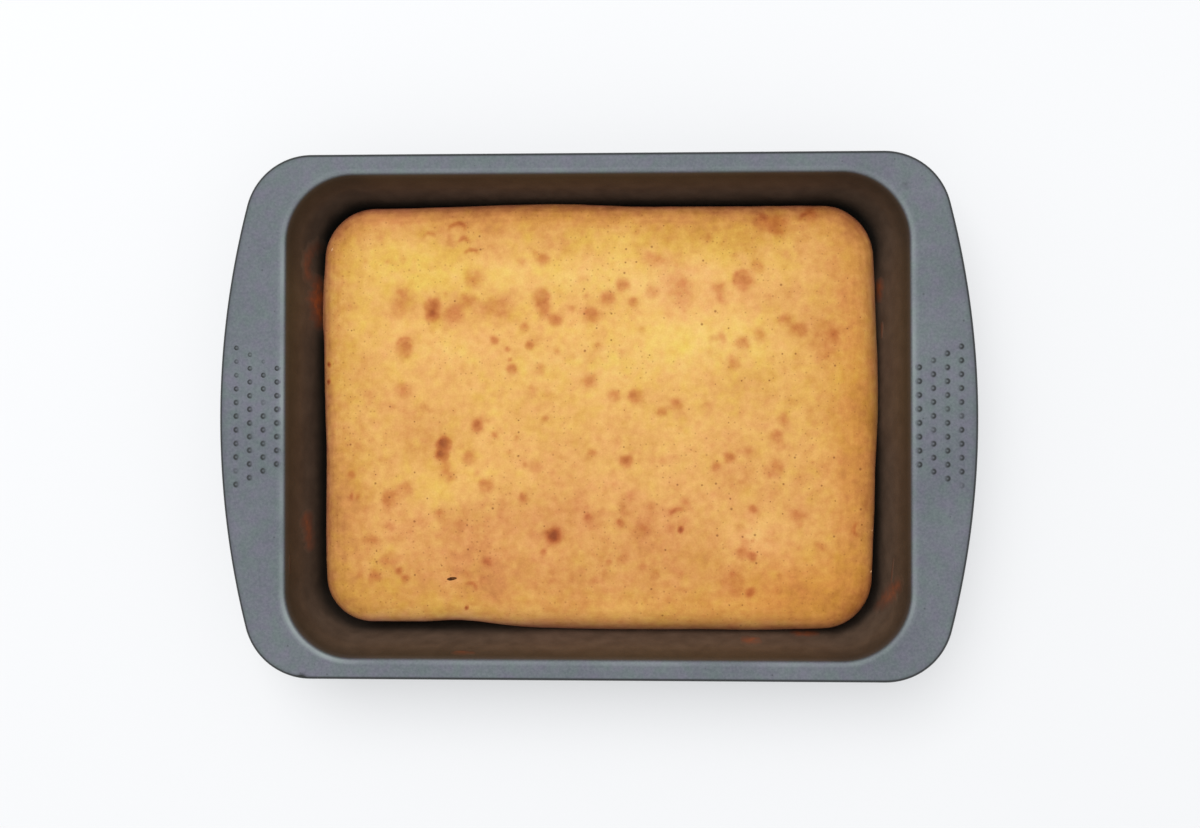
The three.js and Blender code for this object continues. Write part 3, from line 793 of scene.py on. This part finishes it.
top_inset = np.where(step < shoulder_step, CAKE_CORNER - radius, 0)
side_away = np.min((CAKE_LENGTH, CAKE_WIDTH) - 2 * abs(plan), axis=1) / 2
edge_away = np.where(radius > 0, top_inset, side_away)
browning = BASE_BROWN + swells(plan, BROWN_ZONES)
for side_x, side_y, amount, reach in MARGINS_BROWN_AND_SHADED:
    half = abs(side_x) * CAKE_LENGTH / 2 + abs(side_y) * CAKE_WIDTH / 2
    browning += amount * np.exp(-np.maximum(half - plan @ (side_x, side_y), 0) / reach)
browning += CORNER_BROWN * 4 / math.pi * fan * np.exp(-top_inset / CORNER_REACH)
browning += clouded(cake_points[:-1], BROWN_CLOUDS, BROWN_LAYER)
along_edge = np.column_stack((core + outwards * CAKE_CORNER / 2, radius * STREAK_LENGTH / STREAK_WIDTH))
streaks = STREAK_BROWN * cloud(along_edge, STREAK_LENGTH, STREAK_LAYER)
browning += streaks * np.exp(-edge_away / STREAK_REACH)
browning -= HELD_PAINTED_LIGHT * held.sum(axis=0)
set_value(cake, "browning", np.append(np.clip(browning, 0, 1), BASE_BROWN))
set_value(cake, "spots", np.append(spotted, 0))
print("browning from", round(browning.min(), 2), "to", round(browning.max(), 2))

# %% [markdown]
# The hue wanders too, from rosy to yellow, with amber sides and a rosy line at the very edge, strongest at
# the front. One number can hold two opposites: above zero it says how yellow the crust is, and below zero
# how rosy.

# %% Yellow, rosy and amber
YELLOW_ZONES = (
    (-95, 82, 34, 16, 0.9), (25, 90, 55, 11, 0.9), (80, 90, 25, 12, 0.5), (-112, -93, 28, 12, 0.9),
    (-133, 10, 13, 60, 0.5), (45, 38, 60, 16, 0.15), (-72, -36, 24, 14, 0.4), (-85, -100, 35, 7, 0.3),
    (-75, -65, 45, 20, -0.7), (84, -62, 16, 12, -0.6), (0, -50, 90, 24, -0.5), (60, 60, 40, 10, -0.3),
    (40, 69, 20, 12, -0.7), (-118, 104, 22, 7, -0.7), (35, -101, 70, 8, -0.35),
)
HUE_CLOUDS, HUE_LAYER = ((38, 0.35), (15, 0.55), (6, 0.60), (3, 0.45)), 9.5
AMBER_ZONES = (
    (140, 0, 24, 95, 0.9), (112, -92, 48, 24, 0.9), (30, -108, 110, 16, 0.9), (0, 106, 150, 10, 0.5),
)
FRONT_ROSE, EDGE_ROSE_REACH = ((0.5, 1), (0.65, 1.0)), 2.5

yellow = swells(plan, YELLOW_ZONES) + clouded(cake_points[:-1], HUE_CLOUDS, HUE_LAYER)
rosy_edge = np.interp(-outwards[:, 1], *FRONT_ROSE) * np.exp(-top_inset / EDGE_ROSE_REACH)
set_value(cake, "yellow", np.append(yellow, 0))
set_value(cake, "amber", np.append(swells(plan, AMBER_ZONES), 0))
set_value(cake, "edge", np.append(rosy_edge, 0))
print("yellow from", round(yellow.min(), 2), "to", round(yellow.max(), 2))

# %% [markdown]
# The crust's colour is a ramp from pale gold to dark brown, and the stored browning picks the place on it.
# The stored hues then tint it, and the spots lie over that in a redder brown, uneven inside. Matt crust
# shows colour and little shine, so the roughness stays high and falls only where fat has browned it. A
# fine grain and two sizes of open pores break up the surface, in colour and in bump.

# %% Crust
LIGHT_ON_TOP = 1.38
CRUST_RAMP = (
    (0.00, (250, 210, 122)), (0.25, (240, 186, 106)), (0.50, (219, 155, 84)),
    (0.75, (185, 120, 64)), (1.00, (142, 84, 46)),
)
SPOT_RAMP = (
    (0.00, (1, 1, 1, 1)), (0.35, (0.80, 0.59, 0.57, 1)), (0.70, (0.61, 0.35, 0.32, 1)),
    (1.00, (0.45, 0.24, 0.25, 1)),
)
YELLOW_TINT, ROSY_TINT, AMBER_TINT = (0.96, 1.04, 0.74, 1), (1.01, 0.91, 1.09, 1), (1.0, 0.94, 0.70, 1)
EDGE_TINT, GRAIN_TINT, NO_TINT = (0.90, 0.83, 2.2, 1), (0.91, 0.90, 0.87, 1), (1, 1, 1, 1)
CRUST_MOTTLE, SPOT_MOTTLE = (-0.09, 0.09), (0.8, 1.2)
PORE_BROWN, PORE_COVER, FINE_PORE_DEPTH = (126, 68, 28), 0.65, 0.5
CRUST_ROUGHNESS, CRUST_SHINE = (0.72, 0.5), 0.15
GRAIN_HEIGHT, CRUST_BUMP = 0.4, {"Strength": 0.5, "Distance": 0.25 * MM}


def unlit(red, green, blue):
    """The own colour of a surface that looks like this in the light over the cake."""
    return (*[channel / LIGHT_ON_TOP for channel in colour(red, green, blue)[:3]], 1)


def ramp_node(tree, share, stops):
    """A colour ramp with the given stops, each a position and a colour."""
    node = put(tree, "ValToRGB", {"Fac": share})
    for position, _ in stops[1:-1]:
        node.color_ramp.elements.new(position)
    for element, (_, stop_colour) in zip(node.color_ramp.elements, stops):
        element.color = stop_colour
    return node.outputs["Color"]


tree, crust = new_material("crust", cake)
mottle = effect(tree, patches, Scale=260.0, Detail=4.0, Contrast=2.2)
grain = effect(tree, patches, Scale=1100.0, Detail=2.0, Contrast=2.2)
place_on_ramp = math_node(tree, "ADD", stored(tree, "browning"), between(tree, mottle, *CRUST_MOTTLE))
golden = ramp_node(tree, place_on_ramp, [(position, unlit(*seen)) for position, seen in CRUST_RAMP])
baked = mixed(tree, 1.0, golden, mixed(tree, grain, GRAIN_TINT, NO_TINT), "MULTIPLY")
yellow_share, amber_share, edge_share = (stored(tree, name) for name in ("yellow", "amber", "edge"))
rosy_share = math_node(tree, "MULTIPLY", yellow_share, -1.0)
hue_shares = (yellow_share, rosy_share, amber_share, edge_share)
for hue_share, tint in zip(hue_shares, (YELLOW_TINT, ROSY_TINT, AMBER_TINT, EDGE_TINT)):
    baked = mixed(tree, hue_share, baked, tint, "MULTIPLY")
uneven = between(tree, mottle, *SPOT_MOTTLE)
browned = math_node(tree, "MULTIPLY", stored(tree, "spots"), uneven, clamp=True)
baked = mixed(tree, 1.0, baked, ramp_node(tree, browned, SPOT_RAMP), "MULTIPLY")
pores = effect(tree, specks, Scale=150.0, Radius=0.09, Share=0.13)
fine_pores = effect(tree, specks, Scale=360.0, Radius=0.17, Share=0.3)
porous = math_node(tree, "MAXIMUM", pores, math_node(tree, "MULTIPLY", fine_pores, FINE_PORE_DEPTH))
opened = math_node(tree, "MULTIPLY", porous, PORE_COVER)
tree.links.new(mixed(tree, opened, baked, unlit(*PORE_BROWN)), crust["Base Color"])
tree.links.new(between(tree, place_on_ramp, *CRUST_ROUGHNESS), crust["Roughness"])
crust["Specular IOR Level"].default_value = CRUST_SHINE
surface = math_node(tree, "SUBTRACT", math_node(tree, "MULTIPLY", grain, GRAIN_HEIGHT), porous)
skin_bump = put(tree, "Bump", {**CRUST_BUMP, "Height": surface})
tree.links.new(skin_bump.outputs["Normal"], crust["Normal"])
print("crust:", len(tree.nodes), "nodes")

# %% [markdown]
# Batter that splashed onto the walls has baked into thin red-brown smears. A painted mask would be flat,
# so each smear is a low strip that lies on the leaning wall, round the corner too. Its path is given by a
# few points, as place along the wall and height, and the path's corners are cut off until it is smooth.
# How red it is, and how much painted shade lies on it, is stored on its points.

# %% Baked-on smears
SMEARS = (
    ("left", ((90, 14), (89, 27), (82, 34), (75, 35), (71.5, 30), (69.5, 20)), 12.0, 0.6),
    ("left", ((75, 22), (64, 23), (56, 22), (45, 20)), 26.0, 1.1),
    ("left", ((-48, 35), (-58, 32), (-70, 29)), 16.0, 0.75),
    ("left", ((-69, 49.5), (-80, 49.5)), 3.0, 0.4),
    ("right", ((72, 20), (66, 21), (59, 19)), 14.0, 0.95),
    ("right", ((49, 24), (40, 23.5)), 3.5, 0.6),
    ("right", ((-99, 20), (-92, 30), (-87, 37), (-81, 46)), 14.0, 0.65),
    ("right", ((-71, 36), (-85, 33)), 2.4, 0.4),
    ("front", ((-73, 46.6), (-60, 47.2)), 7.0, 0.7),
    ("front", ((73, 30.5), (78.5, 30.8), (84, 30)), 14.0, 0.75),
    ("front", ((99, 21), (107, 23), (115, 21)), 10.0, 0.9),
)
SMEAR_HEIGHT, SMEAR_EDGE, SMEAR_SINK, SMEAR_LEAST = 0.22, 0.05, 0.25, 0.05
SMEAR_STEPS, CORNER_CUTS, NUDGE = 13, 4, 0.1
SMEAR_ACROSS = np.sin(np.linspace(-QUARTER, QUARTER, SMEAR_STEPS))
RAGGED, RAGGED_FINENESS = 0.5, 0.4
WALL_TOP = RIM_HEIGHT - LIP_BEND + LIP_BEND * math.sin(WALL_LEAN)


def on_wall(wall, along, height):
    """Points on a wall's inside face."""
    back = (WALL_TOP - height) * math.tan(WALL_LEAN)
    half, half_along = OPENING_LENGTH / 2 - back, OPENING_WIDTH / 2 - back
    if wall == "front":
        half, half_along = half_along, half
    corner = OPENING_CORNER - back
    round_corner = np.maximum(abs(along) - half_along + corner, 0)
    out = half - corner + np.sqrt(np.maximum(corner ** 2 - round_corner ** 2, 0))
    if wall == "front":
        return np.column_stack((along, -out, height))
    out -= along ** 2 / (2 * OPENING_END_BOW)
    return np.column_stack((out if wall == "right" else -out, along, height))


def off_wall(wall, along, height):
    """Directions that stand off a wall's inside face."""
    here = on_wall(wall, along, height)
    sideways = on_wall(wall, along + NUDGE, height) - here
    upwards = on_wall(wall, along, height + NUDGE) - here
    direction = np.cross(sideways, upwards)
    direction /= np.linalg.norm(direction, axis=1)[:, None]
    return direction * np.sign(direction[:, 2:])


def rounded(route):
    """A path with its corners cut off, a quarter of the way along each stretch, until it runs smoothly."""
    for _ in range(CORNER_CUTS):
        nearer, farther = 0.75 * route[:-1] + 0.25 * route[1:], 0.25 * route[:-1] + 0.75 * route[1:]
        route = np.vstack((route[:1], np.stack((nearer, farther), axis=1).reshape(-1, 2), route[-1:]))
    return route


def smear(wall, route, width, strength):
    """One smear's points, faces and redness at its points."""
    middle = rounded(np.array(route))
    heading = np.gradient(middle, axis=0)
    heading /= np.linalg.norm(heading, axis=1)[:, None]
    rings, red = [], []
    for place, ahead, along in zip(middle, heading, np.linspace(0, 1, len(middle))):
        ends = math.sqrt(math.sin(math.pi * along))
        ragged = 1 + RAGGED * noise.noise(Vector((*place * RAGGED_FINENESS, width)))
        half_width = max(width / 2 * ragged * ends, SMEAR_LEAST)
        line = place + np.outer(SMEAR_ACROSS * half_width, (-ahead[1], ahead[0]))
        crown = (1 - SMEAR_ACROSS ** 2) * ends
        direction = off_wall(wall, *line.T)
        face = on_wall(wall, *line.T)
        over = face + direction * (SMEAR_HEIGHT * crown - SMEAR_EDGE)[:, None]
        behind = (face - direction * SMEAR_SINK)[-2:0:-3]
        rings.append(np.vstack((over, behind)))
        red.append(np.append(strength * crown ** 2, np.zeros(len(behind))))
    return *skin(rings), np.concatenate(red)


smears_made = [smear(*place) for place in SMEARS]
smear_points, smear_faces = join([(points, faces) for points, faces, _ in smears_made])
smears = add_piece("baked_smears", smear_points, smear_faces)
set_value(smears, "red", np.concatenate([red for *_, red in smears_made]))
stuck = stuck_along(smear_points).sum(axis=0)
# Painted shade on the smears: below the lip, and low in the gap except where the cake sticks.
smear_shade = np.interp(smear_points[:, 2], ring_heights[:lip_start], lip_shade[:lip_start])
set_value(smears, "dirt_and_shade", smear_shade + np.interp(smear_points[:, 2], *FOOT_SHADE) * (1 - stuck))
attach(smears, "root")
print(len(SMEARS), "smears with", len(smears.data.polygons), "faces")

# %% [markdown]
# Baked batter is reddest where it is thick. Where it thins out, the grease of the wall shows through, from
# the same node group as on the tin, so no outline gives the smear away. Painted shade darkens both alike.

# %% Baked batter
BATTER_THIN, BATTER_THICK = colour(104, 52, 38), colour(156, 84, 44)
BATTER_MOTTLE, BATTER_ROUGHNESS = (0.4, 1.2), 0.48

tree, baked_batter = new_material("baked batter", smears)
mottle = effect(tree, patches, Scale=300.0, Detail=3.0, Contrast=2.0)
uneven = between(tree, mottle, *BATTER_MOTTLE)
reddened = math_node(tree, "MULTIPLY", stored(tree, "red"), uneven, clamp=True)
batter = mixed(tree, reddened, BATTER_THIN, BATTER_THICK)
faded = mixed(tree, reddened, effect(tree, wall_grease_and_painted_light), batter)
# Painted shade, as stored on the points.
dirt_and_shade_share = math_node(tree, "MULTIPLY", stored(tree, "dirt_and_shade"), DIRT_AND_SHADE_COVER)
tree.links.new(mixed(tree, dirt_and_shade_share, faded, DIRT_AND_SHADE_COLOUR), baked_batter["Base Color"])
baked_batter["Roughness"].default_value = BATTER_ROUGHNESS
print("baked batter:", len(tree.nodes), "nodes")

# %% [markdown]
# A burnt scrap and a few loose crumbs finish the cake. They are small uneven lumps: balls of rings with
# noise on them, flattened and turned, and sunk a little into what they lie on.

# %% Burnt scraps and crumbs
BURNT = ((-74, -82.8, 2.5, 0.8, 8),)
CRUMBS = ((-136.5, 86, 1.0, 0.4, 70), (139.8, -58, 0.5, 0.4, 80), (139.2, -79, 0.8, 0.35, 60))
LUMP_RINGS, LUMP_SIDES, LUMP_FLATNESS = 7, 14, 0.35
LUMP_UNEVENNESS, LUMP_PATCH, LUMP_LAYER = 0.3, 0.9, 0
BURNT_COLOURS = (colour(40, 20, 8), colour(92, 54, 22))
CRUMB_COLOURS = (colour(160, 116, 76), colour(196, 152, 110))
LUMP_ROUGHNESS = 0.75


def top_of_cake(x, y):
    """Height of the crust at a place, from the nearest point of its mesh."""
    upper = np.flatnonzero(step < shoulder_step)
    return cake_points[upper[np.argmin(np.hypot(*(plan[upper] - (x, y)).T))], 2]


def lump(x, y, half_length, half_width, turned):
    """A flat uneven lump on the crust."""
    tilts = np.linspace(-QUARTER, QUARTER, LUMP_RINGS + 2)[1:-1]
    ball = [at_height(circle(LUMP_SIDES) * math.cos(tilt), math.sin(tilt)) for tilt in tilts]
    points, faces = skin(ball)
    points *= (1 + LUMP_UNEVENNESS * cloud(points + (x, y, 0), LUMP_PATCH, LUMP_LAYER))[:, None]
    points *= (half_length, half_width, half_width * LUMP_FLATNESS)
    turn = math.radians(turned)
    points[:, :2] = points[:, :2] @ ((math.cos(turn), math.sin(turn)), (-math.sin(turn), math.cos(turn)))
    return points + (x, y, top_of_cake(x, y)), faces


scraps = add_piece("burnt_scraps", *join([lump(*place) for place in BURNT]))
crumbs = add_piece("crumbs", *join([lump(*place) for place in CRUMBS]))
for piece, name, colours in ((scraps, "burnt", BURNT_COLOURS), (crumbs, "crumb", CRUMB_COLOURS)):
    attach(piece, "root")
    tree, finish = new_material(name, piece)
    mottle = effect(tree, patches, Scale=900.0, Detail=2.0, Contrast=2.0)
    tree.links.new(mixed(tree, mottle, *colours), finish["Base Color"])
    finish["Roughness"].default_value = LUMP_ROUGHNESS
    finish["Specular IOR Level"].default_value = CRUST_SHINE
print("burnt scraps:", len(BURNT), "and loose crumbs:", len(CRUMBS))
